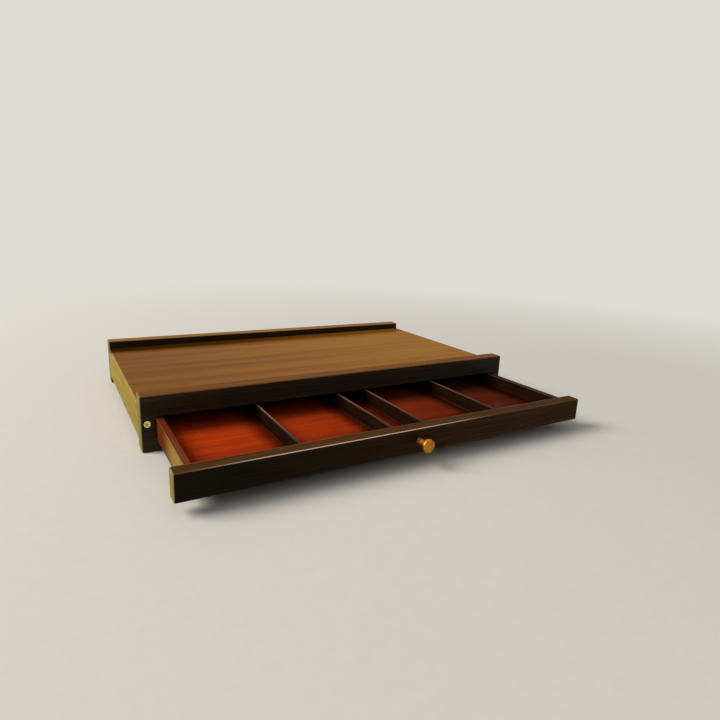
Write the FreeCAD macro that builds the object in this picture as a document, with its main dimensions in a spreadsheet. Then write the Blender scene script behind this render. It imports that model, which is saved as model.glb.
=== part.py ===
import FreeCAD, Part
import os
import Sketcher
from FreeCAD import Placement, Rotation, Vector

# A low wooden box with one wide drawer for sticks of pastel
#
# The case stands on its front and rear boards, which rise above a flat top as a lip and a rim.
# A drawer with five bays slides through a window in the front board.
# Millimetres. X runs to the right, Y to the rear and Z up. The origin is the middle of the
# front board's underside, so the front board's face lies half a board in front of it.
# The drawer is drawn partly open, as it stands at rest.

doc = FreeCAD.newDocument("pastel_drawer_box")

# Driving sizes

SIZES = {
    # Case, stacked up from the surface that it stands on
    "case_width": 405,
    "case_depth": 238,
    "foot_height": 8,
    "bottom_thickness": 3,
    "window_height": 20,
    "kicker_height": 7,
    "top_thickness": 4,
    "lip_height": 8,
    # Case boards
    "board_thickness": 15,
    "board_round": 1.2,
    "side_thickness": 12,
    "side_round": 0.8,
    "kicker_width": 8,
    # How far the panels are let into the boards
    "top_tongue": 4,
    "top_shoulder": 1,
    "bottom_tongue": 6,
    "tongue_slack": 0.2,
    # Drawer front
    "front_inset": 2.5,
    "front_thickness": 12,
    "front_cover_below": 1,
    "front_cover_above": 1,
    "front_round": 1.2,
    # Drawer box
    "drawer_reach": 104,
    "drawer_side_gap": 0.5,
    "drawer_top_gap": 1,
    "drawer_rear_gap": 4,
    "drawer_side_thickness": 6,
    "drawer_side_round": 0.7,
    "drawer_back_thickness": 6,
    "drawer_back_let_in": 2,
    "housing_depth": 4,
    "floor_thickness": 3,
    "floor_height": 2,
    "floor_groove": 3,
    # Dividers
    "middle_bay": 30,
    "divider_thickness": 3,
    "divider_round": 0.5,
    "divider_drop": 0.5,
    "divider_groove": 2,
    "divider_slack": 0.05,
    # Stop block on the back of the drawer
    "stop_width": 60,
    "stop_gap": 0.8,
    "stop_round": 1,
    # Dowels between the sides and the boards
    "dowel_diameter": 6,
    "dowel_depth": 8,
    "dowel_rise": 8,
    "dowel_spacing": 14,
    "glue_gap": 0.05,
    # Knob
    "knob_reach": 14.5,
    "knob_foot_diameter": 7.6,
    "knob_foot_thickness": 1.2,
    "knob_neck_diameter": 5.4,
    "knob_neck_flare": 1.1,
    "knob_head_diameter": 12.6,
    "knob_head_thickness": 5.6,
    "knob_head_taper": 2.2,
    "knob_edge_bevel": 0.7,
    # Screw that holds the knob from inside the drawer
    "screw_diameter": 3,
    "screw_reach": 7,
    "screw_head_diameter": 6,
    "screw_head_height": 2,
    "screw_head_bevel": 0.8,
    "screw_slot_width": 0.9,
    "screw_slot_depth": 1,
    "screw_hole_gap": 0.2,
    "thread_gap": 0.05,
    # Round catches in the front board, and the plates that they pull
    "catch_inset": 5.6,
    "catch_rise": 14,
    "catch_diameter": 6.4,
    "catch_depth": 5,
    "catch_bevel": 0.7,
    "magnet_diameter": 2.4,
    "magnet_depth": 3.6,
    "magnet_sunk": 0.3,
    "strike_diameter": 5,
    "strike_thickness": 1,
    # How far a cut runs past a face that it leaves
    "overrun": 2,
    # How near two measured places are when they count as one
    "same_place": 0.01,
}

DIVIDERS = (1, 2, 3, 4)

# Places and sizes that follow from them

PLACES = {
    "seat_z": "sizes.foot_height + sizes.bottom_thickness",
    "window_top": "seat_z + sizes.window_height",
    "panel_z": "window_top + sizes.kicker_height",
    "top_tongue_height": "sizes.top_thickness - sizes.top_shoulder",
    "top_z": "panel_z + sizes.top_thickness",
    "case_height": "top_z + sizes.lip_height",
    "face_y": "-sizes.board_thickness / 2",
    "side_y": "sizes.board_thickness / 2",
    "side_length": "sizes.case_depth - 2 * sizes.board_thickness",
    "side_height": "panel_z - sizes.foot_height",
    "rear_y": "side_y + side_length",
    "inner_width": "sizes.case_width - 2 * sizes.side_thickness",
    "front_width": "sizes.case_width - 2 * sizes.front_inset",
    "front_height": "sizes.window_height + sizes.front_cover_below + sizes.front_cover_above",
    "front_z": "seat_z - sizes.front_cover_below",
    "box_y": "face_y - sizes.drawer_reach",
    "box_width": "inner_width - 2 * sizes.drawer_side_gap",
    "box_length": "sizes.case_depth - sizes.board_thickness - sizes.drawer_rear_gap",
    "box_height": "sizes.window_height - sizes.drawer_top_gap",
    "box_top": "seat_z + box_height",
    "bay_width": "box_width - 2 * sizes.drawer_side_thickness",
    "bay_length": "box_length - sizes.drawer_back_thickness",
    "bay_rise": "sizes.floor_height + sizes.floor_thickness",
    "back_height": "box_height - bay_rise",
    "divider_height": "back_height - sizes.divider_drop",
    "wide_bay": "(bay_width - sizes.middle_bay - 4 * sizes.divider_thickness) / 4",
    "divider_1_x": "wide_bay - bay_width / 2",
    "divider_2_x": "divider_1_x + sizes.divider_thickness + wide_bay",
    "divider_3_x": "divider_2_x + sizes.divider_thickness + sizes.middle_bay",
    "divider_4_x": "divider_3_x + sizes.divider_thickness + wide_bay",
    "stop_height": "panel_z - sizes.stop_gap - box_top",
    "dowel_x": "(sizes.case_width - sizes.side_thickness) / 2",
    "dowel_z": "sizes.foot_height + sizes.dowel_rise",
    "catch_x": "sizes.case_width / 2 - sizes.catch_inset",
    "catch_z": "seat_z + sizes.catch_rise",
}


def fill_sheet(name, cells, sign=""):
    """Writes a sheet of names and values, where each name becomes the value's alias."""
    sheet = doc.addObject("Spreadsheet::Sheet", name)
    for row, (alias, content) in enumerate(cells.items(), start=1):
        sheet.set(f"A{row}", alias)
        sheet.set(f"B{row}", sign + str(content))
        sheet.setAlias(f"B{row}", alias)
    doc.recompute()
    return sheet


sizes = fill_sheet("sizes", SIZES)
places = fill_sheet("places", PLACES, "=")


def value_of(formula):
    """The number that a formula gives now, used to draw a sketch near its final shape."""
    return float(sizes.evalExpression(formula))


# Bodies, sketches and features

LEVEL = ("XY_Plane", 1)
UPRIGHT = ("XZ_Plane", -1)
FACING_FRONT = Rotation(Vector(1, 0, 0), 90)


def own_plane(body, role):
    """One of the three planes through the body's own zero."""
    return next(part for part in body.Origin.OriginFeatures if part.Role == role)


def new_body(name, x, y, z, rotation=Rotation()):
    """A body whose own zero sits at a place given by three formulas."""
    body = doc.addObject("PartDesign::Body", name)
    body.Label = name
    body.AllowCompound = True
    body.Placement = Placement(Vector(), rotation)
    for axis, formula in zip("xyz", (x, y, z)):
        body.setExpression(f"Placement.Base.{axis}", formula)
    return body


def new_sketch(body, name, plane, lift="0"):
    """A sketch on one of the body's own planes, moved along the axis that it faces."""
    role, sign = plane
    sketch = body.newObject("Sketcher::SketchObject", f"{body.Name}_{name}")
    sketch.AttachmentSupport = [(own_plane(body, role), "")]
    sketch.MapMode = "FlatFace"
    sketch.setExpression("AttachmentOffset.Base.z", f"({lift}) * {sign}")
    return sketch


def tie(sketch, kind, geometry, point, formula):
    """Holds one coordinate of a point by a formula, or on the axis where it is zero."""
    if formula == "0":
        axis = -2 if kind == "DistanceX" else -1
        sketch.addConstraint(Sketcher.Constraint("PointOnObject", geometry, point, axis))
        return
    value = value_of(formula)
    index = sketch.addConstraint(Sketcher.Constraint(kind, -1, 1, geometry, point, value))
    sketch.setExpression(f"Constraints[{index}]", formula)


def draw_outline(sketch, corners):
    """Straight lines from corner to corner, each corner held by two formulas."""
    first = sketch.GeometryCount
    spots = [Vector(value_of(x), value_of(y), 0) for x, y in corners]
    for start, end in zip(spots, spots[1:] + spots[:1]):
        sketch.addGeometry(Part.LineSegment(start, end), False)
    for number, (x, y) in enumerate(corners):
        line = first + number
        following = first + (number + 1) % len(corners)
        sketch.addConstraint(Sketcher.Constraint("Coincident", line, 2, following, 1))
        tie(sketch, "DistanceX", line, 1, x)
        tie(sketch, "DistanceY", line, 1, y)


def draw_rectangle(sketch, x, y, width, height):
    """A rectangle from its low corner and its two sides."""
    right = width if x == "0" else f"{x} + {width}"
    top = height if y == "0" else f"{y} + {height}"
    draw_outline(sketch, [(x, y), (right, y), (right, top), (x, top)])


def draw_circle(sketch, x, y, diameter):
    """A circle from its centre and its diameter."""
    centre = Vector(value_of(x), value_of(y), 0)
    size = value_of(diameter)
    circle = sketch.addGeometry(Part.Circle(centre, Vector(0, 0, 1), size / 2), False)
    index = sketch.addConstraint(Sketcher.Constraint("Diameter", circle, size))
    sketch.setExpression(f"Constraints[{index}]", diameter)
    tie(sketch, "DistanceX", circle, 3, x)
    tie(sketch, "DistanceY", circle, 3, y)


def pad(sketch, length, reverse=False):
    """Raises a sketch into a solid along its plane's normal, or the other way."""
    body = sketch.getParentGeoFeatureGroup()
    feature = body.newObject("PartDesign::Pad", f"{sketch.Name}_pad")
    feature.Profile = sketch
    feature.Reversed = reverse
    feature.setExpression("Length", length)
    return feature


def pocket(sketch, depth, reverse=False):
    """Cuts a sketch into the solid against its plane's normal, or the other way."""
    body = sketch.getParentGeoFeatureGroup()
    feature = body.newObject("PartDesign::Pocket", f"{sketch.Name}_pocket")
    feature.Profile = sketch
    feature.Reversed = reverse
    feature.setExpression("Length", depth)
    return feature


def turn(sketch):
    """Turns a sketch a full circle round its own upright axis."""
    body = sketch.getParentGeoFeatureGroup()
    feature = body.newObject("PartDesign::Revolution", f"{sketch.Name}_turned")
    feature.Profile = sketch
    feature.ReferenceAxis = (sketch, ["V_Axis"])
    feature.Angle = 360
    return feature


def ease(feature, radius, wanted):
    """Rounds the edges of a feature that pass a test."""
    doc.recompute()
    body = feature.getParentGeoFeatureGroup()
    edges = enumerate(feature.Shape.Edges, start=1)
    rounding = body.newObject("PartDesign::Fillet", f"{feature.Name}_eased")
    rounding.Base = (feature, [f"Edge{number}" for number, edge in edges if wanted(edge)])
    rounding.setExpression("Radius", radius)
    return rounding


def mirror(feature, role):
    """Repeats a feature on the other side of one of its body's own planes."""
    doc.recompute()
    body = feature.getParentGeoFeatureGroup()
    copy = body.newObject("PartDesign::Mirrored", f"{feature.Name}_mirrored")
    copy.Originals = [feature]
    copy.MirrorPlane = (own_plane(body, role), [""])
    body.Tip = copy


def block(name, x, y, z, width, depth, height):
    """A plain board from its low corner and three sides, and the pad that makes it."""
    body = new_body(name, x, y, z)
    sketch = new_sketch(body, "outline", LEVEL)
    draw_rectangle(sketch, "0", "0", width, depth)
    return body, pad(sketch, height)


def near(value, formula):
    """True where a measured coordinate is the one that a formula gives."""
    return abs(value - value_of(formula)) < value_of("sizes.same_place")


# Front and rear boards of the case


def cut_dowel_holes(body, spots, lift, reverse):
    """Blind holes for dowels, at each of some places across and up a board's end or face."""
    sketch = new_sketch(body, "dowels_rear" if reverse else "dowels_front", UPRIGHT, lift)
    for x, z in spots:
        draw_circle(sketch, x, z, "sizes.dowel_diameter + 2 * sizes.glue_gap")
    pocket(sketch, "sizes.dowel_depth + sizes.glue_gap", reverse)


def board_dowel_spots():
    """Where the four dowels enter a front or rear board, from the board's own low corner."""
    ends = ("sizes.side_thickness / 2", "sizes.case_width - sizes.side_thickness / 2")
    heights = ("places.dowel_z", "places.dowel_z + sizes.dowel_spacing")
    return [(x, z) for x in ends for z in heights]


def long_board(name, y):
    """A front or rear board with eased edges, as wide and as tall as the case."""
    body, solid = block(
        name, "-sizes.case_width / 2", y, "0",
        "sizes.case_width", "sizes.board_thickness", "places.case_height",
    )
    ease(solid, "sizes.board_round", lambda edge: True)
    return body


def cut_across(body, name, z, height, depth, lift, reverse):
    """A cut as wide as the case is inside, in one face of a front or rear board."""
    sketch = new_sketch(body, name, UPRIGHT, lift)
    draw_rectangle(sketch, "sizes.side_thickness", z, "places.inner_width", height)
    pocket(sketch, depth, reverse)


def make_front_board():
    """The board with the drawer window, the catches, and a seat for the front of each panel."""
    body = long_board("front_board", "places.face_y")
    cut_across(
        body, "window", "places.seat_z", "sizes.window_height",
        "sizes.board_thickness + 2 * sizes.overrun", "-sizes.overrun", False,
    )
    cut_across(
        body, "top_groove", "places.panel_z", "places.top_tongue_height",
        "sizes.top_tongue + sizes.tongue_slack", "sizes.board_thickness", True,
    )
    cut_across(
        body, "bottom_rebate", "sizes.foot_height", "sizes.bottom_thickness + sizes.overrun",
        "sizes.bottom_tongue + sizes.tongue_slack", "sizes.board_thickness", True,
    )
    cut_dowel_holes(body, board_dowel_spots(), "sizes.board_thickness", True)
    catches = new_sketch(body, "catch_holes", UPRIGHT)
    for x in ("sizes.catch_inset", "sizes.case_width - sizes.catch_inset"):
        draw_circle(catches, x, "places.catch_z", "sizes.catch_diameter + 2 * sizes.glue_gap")
    pocket(catches, "sizes.catch_depth + sizes.glue_gap")


def make_rear_board():
    """The board behind, whose top edge is the rim that a sheet of paper rests against."""
    body = long_board("rear_board", "places.rear_y")
    cut_across(
        body, "top_groove", "places.panel_z", "places.top_tongue_height",
        "sizes.top_tongue + sizes.tongue_slack", "0", False,
    )
    cut_across(
        body, "bottom_groove", "sizes.foot_height", "sizes.bottom_thickness",
        "sizes.bottom_tongue + sizes.tongue_slack", "0", False,
    )
    cut_dowel_holes(body, board_dowel_spots(), "0", False)


# Sides, panels and kickers of the case


def make_side(name, x, outer_x, rebate_x):
    """A side between the front and rear boards, with a rebate under it for the bottom panel."""
    body, solid = block(
        name, x, "places.side_y", "sizes.foot_height",
        "sizes.side_thickness", "places.side_length", "places.side_height",
    )
    ease(
        solid, "sizes.side_round",
        lambda edge: near(edge.BoundBox.XMin, outer_x) and near(edge.BoundBox.XMax, outer_x)
        and near(edge.BoundBox.ZMax, "0"),
    )
    rebate = new_sketch(body, "rebate", UPRIGHT, "-sizes.overrun")
    draw_outline(rebate, [
        (rebate_x, "-sizes.overrun"),
        (f"{rebate_x} + sizes.bottom_tongue", "-sizes.overrun"),
        (f"{rebate_x} + sizes.bottom_tongue", "sizes.bottom_thickness"),
        (rebate_x, "sizes.bottom_thickness"),
    ])
    pocket(rebate, "places.side_length + 2 * sizes.overrun")
    middle = "sizes.side_thickness / 2"
    spots = [(middle, "sizes.dowel_rise"), (middle, "sizes.dowel_rise + sizes.dowel_spacing")]
    cut_dowel_holes(body, spots, "0", False)
    cut_dowel_holes(body, spots, "places.side_length", True)


def tongued_panel(name, z, thickness, width, tongue):
    """A panel between the boards, with a narrower tongue at the front and at the rear."""
    reach = f"({tongue} - sizes.tongue_slack)"
    margin = f"({width} - places.inner_width) / 2 + sizes.tongue_slack"
    body = new_body(name, f"-({width}) / 2", "places.side_y", z)
    sketch = new_sketch(body, "outline", LEVEL)
    right = f"({width}) - ({margin})"
    rear = "places.side_length"
    draw_outline(sketch, [
        ("0", "0"), (margin, "0"), (margin, f"-{reach}"), (right, f"-{reach}"), (right, "0"),
        (width, "0"), (width, rear), (right, rear), (right, f"{rear} + {reach}"),
        (margin, f"{rear} + {reach}"), (margin, rear), ("0", rear),
    ])
    return body, pad(sketch, thickness)


def make_top_panel():
    """The flat top, let into the boards by lowered tongues and lying over the sides."""
    body, solid = tongued_panel(
        "top_panel", "places.panel_z", "sizes.top_thickness", "sizes.case_width", "sizes.top_tongue",
    )
    ease(
        solid, "sizes.side_round",
        lambda edge: near(edge.BoundBox.ZMin, "sizes.top_thickness")
        and (near(edge.BoundBox.XMax, "0") or near(edge.BoundBox.XMin, "sizes.case_width")),
    )
    shoulders = new_sketch(body, "shoulders", LEVEL, "places.top_tongue_height")
    for y in ("-(sizes.top_tongue + sizes.overrun)", "places.side_length"):
        draw_rectangle(
            shoulders, "sizes.side_thickness - sizes.overrun", y,
            "places.inner_width + 2 * sizes.overrun", "sizes.top_tongue + sizes.overrun",
        )
    pocket(shoulders, "sizes.top_shoulder + sizes.overrun", True)


def make_bottom_panel():
    """The thin bottom that the drawer slides on, let into the boards and up into the sides."""
    width = "places.inner_width + 2 * (sizes.bottom_tongue - sizes.tongue_slack)"
    tongued_panel(
        "bottom_panel", "sizes.foot_height", "sizes.bottom_thickness", width, "sizes.bottom_tongue",
    )


def make_kicker(name, x):
    """A strip under the top panel that keeps the open drawer from tipping."""
    block(
        name, x, "places.side_y", "places.window_top",
        "sizes.kicker_width", "places.side_length", "sizes.kicker_height",
    )


# Dowels of the case


def make_case_dowels():
    """Eight dowels, two in each corner, drawn in the front corners and mirrored to the rear."""
    middle = "places.side_y + places.side_length / 2"
    body = new_body("case_dowels", "0", middle, "places.dowel_z")
    sketch = new_sketch(body, "ends", UPRIGHT, "-places.side_length / 2 - sizes.dowel_depth")
    for x in ("-places.dowel_x", "places.dowel_x"):
        for z in ("0", "sizes.dowel_spacing"):
            draw_circle(sketch, x, z, "sizes.dowel_diameter")
    mirror(pad(sketch, "2 * sizes.dowel_depth", True), "XZ_Plane")


# Catches in the front board


def make_catch(name, x):
    """A round catch let in flush, with a socket in its middle for the magnet."""
    body = new_body(name, x, "places.face_y", "places.catch_z", FACING_FRONT)
    profile = new_sketch(body, "profile", UPRIGHT)
    radius = "sizes.catch_diameter / 2"
    socket = "sizes.magnet_diameter / 2 + sizes.glue_gap"
    draw_outline(profile, [
        ("0", "-sizes.catch_depth"), (radius, "-sizes.catch_depth"), (radius, "-sizes.catch_bevel"),
        (f"{radius} - sizes.catch_bevel", "0"), (socket, "0"),
        (socket, "-sizes.magnet_depth"), ("0", "-sizes.magnet_depth"),
    ])
    turn(profile)


def make_catch_magnets():
    """The two magnets in the catches, a little below the brass."""
    body = new_body("catch_magnets", "0", "places.face_y", "places.catch_z")
    sketch = new_sketch(body, "ends", UPRIGHT, "sizes.magnet_sunk")
    draw_circle(sketch, "places.catch_x", "0", "sizes.magnet_diameter")
    mirror(pad(sketch, "sizes.magnet_depth - sizes.magnet_sunk", True), "YZ_Plane")


def make_strike_plates():
    """The two plates that the magnets pull, glued flush into the back of the drawer front."""
    body = new_body("strike_plates", "0", "places.box_y", "places.catch_z")
    sketch = new_sketch(body, "ends", UPRIGHT)
    draw_circle(sketch, "places.catch_x", "0", "sizes.strike_diameter")
    mirror(pad(sketch, "sizes.strike_thickness"), "YZ_Plane")


# Drawer


def divider_x(number):
    """The left face of a divider, counted from 1."""
    return f"places.divider_{number}_x"


def cut_divider_slots(body, from_x, from_z, lift, reverse):
    """Four upright slots for the ends of the dividers."""
    sketch = new_sketch(body, "divider_slots", UPRIGHT, lift)
    for number in DIVIDERS:
        draw_rectangle(
            sketch, f"{from_x} + {divider_x(number)} - sizes.divider_slack", from_z,
            "sizes.divider_thickness + 2 * sizes.divider_slack", "places.divider_height",
        )
    pocket(sketch, "sizes.divider_groove", reverse)


def make_drawer_front():
    """The drawer front, cut behind for the sides, floor, dividers, knob screw and strike plates."""
    body, solid = block(
        "drawer_front", "-places.front_width / 2", "places.box_y - sizes.front_thickness",
        "places.front_z", "places.front_width", "sizes.front_thickness", "places.front_height",
    )
    ease(solid, "sizes.front_round", lambda edge: near(edge.BoundBox.YMin, "0"))
    back = "sizes.front_thickness"
    half = "places.front_width / 2"
    bay_low = "sizes.front_cover_below + places.bay_rise"
    housings = new_sketch(body, "side_housings", UPRIGHT, back)
    for x in (f"{half} - places.box_width / 2", f"{half} + places.bay_width / 2"):
        draw_rectangle(
            housings, x, "sizes.front_cover_below", "sizes.drawer_side_thickness", "places.box_height",
        )
    pocket(housings, "sizes.housing_depth", True)
    groove = new_sketch(body, "floor_groove", UPRIGHT, back)
    draw_rectangle(
        groove, f"{half} - places.bay_width / 2", "sizes.front_cover_below + sizes.floor_height",
        "places.bay_width", "sizes.floor_thickness",
    )
    pocket(groove, "sizes.floor_groove", True)
    cut_divider_slots(body, half, bay_low, back, True)
    screw = new_sketch(body, "screw_hole", UPRIGHT, "-sizes.overrun")
    draw_circle(screw, half, "places.front_height / 2", "sizes.screw_diameter + 2 * sizes.screw_hole_gap")
    pocket(screw, "sizes.front_thickness + 2 * sizes.overrun")
    plates = new_sketch(body, "plate_recesses", UPRIGHT, back)
    for x in (f"{half} - places.catch_x", f"{half} + places.catch_x"):
        rise = "sizes.front_cover_below + sizes.catch_rise"
        draw_circle(plates, x, rise, "sizes.strike_diameter + 2 * sizes.glue_gap")
    pocket(plates, "sizes.strike_thickness + sizes.glue_gap", True)


def make_drawer_side(name, x, groove_x, rebate_x):
    """A drawer side, housed in the front, grooved for the floor and rebated for the back."""
    body, solid = block(
        name, x, "places.box_y - sizes.housing_depth", "places.seat_z",
        "sizes.drawer_side_thickness", "places.box_length + sizes.housing_depth", "places.box_height",
    )
    ease(
        solid, "sizes.drawer_side_round",
        lambda edge: near(edge.BoundBox.ZMin, "places.box_height")
        and near(edge.BoundBox.XLength, "0"),
    )
    groove = new_sketch(body, "floor_groove", UPRIGHT, "-sizes.overrun")
    draw_rectangle(groove, groove_x, "sizes.floor_height", "sizes.floor_groove", "sizes.floor_thickness")
    pocket(groove, "places.box_length + sizes.housing_depth + 2 * sizes.overrun")
    rebate = new_sketch(body, "back_rebate", LEVEL, "places.box_height + sizes.overrun")
    draw_rectangle(
        rebate, rebate_x, "sizes.housing_depth + places.bay_length",
        "sizes.drawer_back_let_in + sizes.overrun", "sizes.drawer_back_thickness + sizes.overrun",
    )
    pocket(rebate, "places.back_height + sizes.overrun")


def make_drawer_back():
    """The drawer's back, standing on the floor with its ends let into the sides."""
    half = "(places.bay_width / 2 + sizes.drawer_back_let_in)"
    body, _ = block(
        "drawer_back", f"-{half}", "places.box_y + places.bay_length",
        "places.seat_z + places.bay_rise",
        f"2 * {half}", "sizes.drawer_back_thickness", "places.back_height",
    )
    cut_divider_slots(body, half, "0", "0", False)


def make_drawer_floor():
    """The floor of the bays, in the grooves of the sides and the front and under the back."""
    reach = "(sizes.floor_groove - sizes.tongue_slack)"
    block(
        "drawer_floor", f"-places.bay_width / 2 - {reach}", f"places.box_y - {reach}",
        "places.seat_z + sizes.floor_height",
        f"places.bay_width + 2 * {reach}", f"places.box_length + {reach}", "sizes.floor_thickness",
    )


def make_divider(number):
    """A thin strip across the drawer, standing on the floor with its ends in slots."""
    reach = "(sizes.divider_groove - sizes.divider_slack)"
    body, solid = block(
        f"divider_{number}", divider_x(number), f"places.box_y - {reach}",
        "places.seat_z + places.bay_rise",
        "sizes.divider_thickness", f"places.bay_length + 2 * {reach}", "places.divider_height",
    )
    ease(
        solid, "sizes.divider_round",
        lambda edge: near(edge.BoundBox.ZMin, "places.divider_height")
        and near(edge.BoundBox.XLength, "0"),
    )


def make_drawer_stop():
    """A block on the drawer's back that meets the front board when the drawer is fully out."""
    body, solid = block(
        "drawer_stop", "-sizes.stop_width / 2", "places.box_y + places.bay_length", "places.box_top",
        "sizes.stop_width", "sizes.drawer_back_thickness", "places.stop_height",
    )
    ease(
        solid, "sizes.stop_round",
        lambda edge: near(edge.BoundBox.ZMin, "places.stop_height")
        and near(edge.BoundBox.XLength, "0"),
    )


# Knob


def make_knob():
    """A turned knob: a foot, a thin neck, and a head with a cone behind it."""
    body = new_body(
        "knob", "0", "places.box_y - sizes.front_thickness",
        "places.front_z + places.front_height / 2", FACING_FRONT,
    )
    foot = "sizes.knob_foot_diameter / 2"
    neck = "sizes.knob_neck_diameter / 2"
    head = "sizes.knob_head_diameter / 2"
    foot_top = "sizes.knob_foot_thickness"
    head_low = "sizes.knob_reach - sizes.knob_head_thickness"
    profile = new_sketch(body, "profile", UPRIGHT)
    draw_outline(profile, [
        ("0", "0"), (foot, "0"), (foot, foot_top), (neck, f"{foot_top} + sizes.knob_neck_flare"),
        (neck, head_low), (head, f"{head_low} + sizes.knob_head_taper"),
        (head, "sizes.knob_reach - sizes.knob_edge_bevel"),
        (f"{head} - sizes.knob_edge_bevel", "sizes.knob_reach"), ("0", "sizes.knob_reach"),
    ])
    turn(profile)
    thread = new_sketch(body, "thread", LEVEL)
    draw_circle(thread, "0", "0", "sizes.screw_diameter + 2 * sizes.thread_gap")
    pocket(thread, "sizes.screw_reach + sizes.screw_diameter / 2", True)


def make_knob_screw():
    """The slotted screw that comes through the drawer front from the middle bay."""
    body = new_body(
        "knob_screw", "0", "places.box_y", "places.front_z + places.front_height / 2", FACING_FRONT,
    )
    shank = "sizes.screw_diameter / 2"
    head = "sizes.screw_head_diameter / 2"
    tip = "sizes.front_thickness + sizes.screw_reach"
    profile = new_sketch(body, "profile", UPRIGHT)
    draw_outline(profile, [
        ("0", "-sizes.screw_head_height"),
        (f"{head} - sizes.screw_head_bevel", "-sizes.screw_head_height"),
        (head, "sizes.screw_head_bevel - sizes.screw_head_height"), (head, "0"),
        (shank, "0"), (shank, tip), ("0", tip),
    ])
    turn(profile)
    slot = new_sketch(body, "slot", LEVEL, "-sizes.screw_head_height - sizes.overrun")
    draw_outline(slot, [
        (f"-{head} - sizes.overrun", "-sizes.screw_slot_width / 2"),
        (f"{head} + sizes.overrun", "-sizes.screw_slot_width / 2"),
        (f"{head} + sizes.overrun", "sizes.screw_slot_width / 2"),
        (f"-{head} - sizes.overrun", "sizes.screw_slot_width / 2"),
    ])
    pocket(slot, "sizes.screw_slot_depth + sizes.overrun", True)


# The whole box

make_front_board()
make_rear_board()
make_side("left_side", "-sizes.case_width / 2", "0", "sizes.side_thickness - sizes.bottom_tongue")
make_side("right_side", "places.inner_width / 2", "sizes.side_thickness", "0")
make_top_panel()
make_bottom_panel()
make_kicker("left_kicker", "-places.inner_width / 2")
make_kicker("right_kicker", "places.inner_width / 2 - sizes.kicker_width")
make_case_dowels()
make_catch("left_catch", "-places.catch_x")
make_catch("right_catch", "places.catch_x")
make_catch_magnets()
make_strike_plates()
make_drawer_front()
make_drawer_side(
    "drawer_left_side", "-places.box_width / 2", "sizes.drawer_side_thickness - sizes.floor_groove",
    "sizes.drawer_side_thickness - sizes.drawer_back_let_in",
)
make_drawer_side("drawer_right_side", "places.bay_width / 2", "0", "-sizes.overrun")
make_drawer_back()
make_drawer_floor()
for number in DIVIDERS:
    make_divider(number)
make_drawer_stop()
make_knob()
make_knob_screw()

# Checks, then one file for each sub-part

doc.recompute()
for made in doc.Objects:
    if "Invalid" in made.State or "Error" in made.State:
        raise RuntimeError(f"{made.Name} failed: {made.State}")
for cut in doc.Objects:
    if cut.TypeId == "PartDesign::Pocket":
        if cut.Shape.Volume >= cut.BaseFeature.Shape.Volume:
            raise RuntimeError(f"{cut.Name} cuts nothing")

os.makedirs("parts", exist_ok=True)
for part in doc.findObjects("PartDesign::Body"):
    shape = part.Shape
    if shape.isNull() or not shape.isValid():
        raise RuntimeError(f"{part.Label} has no valid shape")
    shape.exportStep(f"parts/{part.Label}.step")
    print(part.Label, "solids", len(shape.Solids), "volume", round(shape.Volume, 1))
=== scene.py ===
# %% [markdown]
# # A drawer box for sticks of pastel
#
# A low wooden box stands on two long boards. Its flat top lies between a raised lip in front and
# a raised rim behind, and a wide drawer with five bays slides out at the front. The wood is
# stained dark and lacquered, the bays are red, and the knob and the two small catches are brass.
#
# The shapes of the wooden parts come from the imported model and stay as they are. This lesson
# gives them their finish, models the small turned pieces again with finer forms, and sets the
# light and the camera.

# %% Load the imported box
import math
import bpy
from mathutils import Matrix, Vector


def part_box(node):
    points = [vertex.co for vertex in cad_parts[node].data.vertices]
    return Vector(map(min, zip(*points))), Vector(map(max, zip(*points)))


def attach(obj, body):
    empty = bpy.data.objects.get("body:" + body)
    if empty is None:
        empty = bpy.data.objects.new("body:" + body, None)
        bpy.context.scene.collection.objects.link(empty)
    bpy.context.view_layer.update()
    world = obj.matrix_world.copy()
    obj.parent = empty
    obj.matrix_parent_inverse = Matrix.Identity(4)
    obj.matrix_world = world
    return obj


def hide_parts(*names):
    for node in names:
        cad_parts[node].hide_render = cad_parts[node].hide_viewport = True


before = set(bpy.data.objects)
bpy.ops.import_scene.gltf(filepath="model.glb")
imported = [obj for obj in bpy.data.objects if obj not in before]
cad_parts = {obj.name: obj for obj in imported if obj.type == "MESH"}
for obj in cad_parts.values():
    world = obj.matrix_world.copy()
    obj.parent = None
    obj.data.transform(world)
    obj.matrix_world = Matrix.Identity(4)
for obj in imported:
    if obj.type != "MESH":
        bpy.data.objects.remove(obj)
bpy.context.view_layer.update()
print("nodes:", len(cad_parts))

# %% [markdown]
# ## Camera
#
# The camera stands low at the front left and looks a little down. It could be placed by eye. Here
# it is found from the outlines of the box in the photograph and the sizes of the model, so each
# edge shows where it should. The box is in the middle of the picture and the lens isn't shifted,
# so the camera can also be moved round it.

# %% Set up the camera
CAMERA_PLACE = (-0.261319, -0.460293, 0.195603)
CAMERA_TURN_DEGREES = (75.8010, -2.3993, -30.0793)
CAMERA_LENS_MM = 26.897
CAMERA_SENSOR_MM = 36
NEAREST_SEEN_METRES = 0.01

camera_settings = bpy.data.cameras.new("camera")
camera_settings.lens = CAMERA_LENS_MM
camera_settings.sensor_width = CAMERA_SENSOR_MM
camera_settings.clip_start = NEAREST_SEEN_METRES
camera = bpy.data.objects.new("camera", camera_settings)
camera.location = CAMERA_PLACE
camera.rotation_euler = [math.radians(turn) for turn in CAMERA_TURN_DEGREES]
bpy.context.scene.collection.objects.link(camera)
bpy.context.scene.camera = camera
bpy.context.scene.view_settings.view_transform = "Standard"
print("camera at", CAMERA_PLACE, "lens", CAMERA_LENS_MM)

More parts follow.
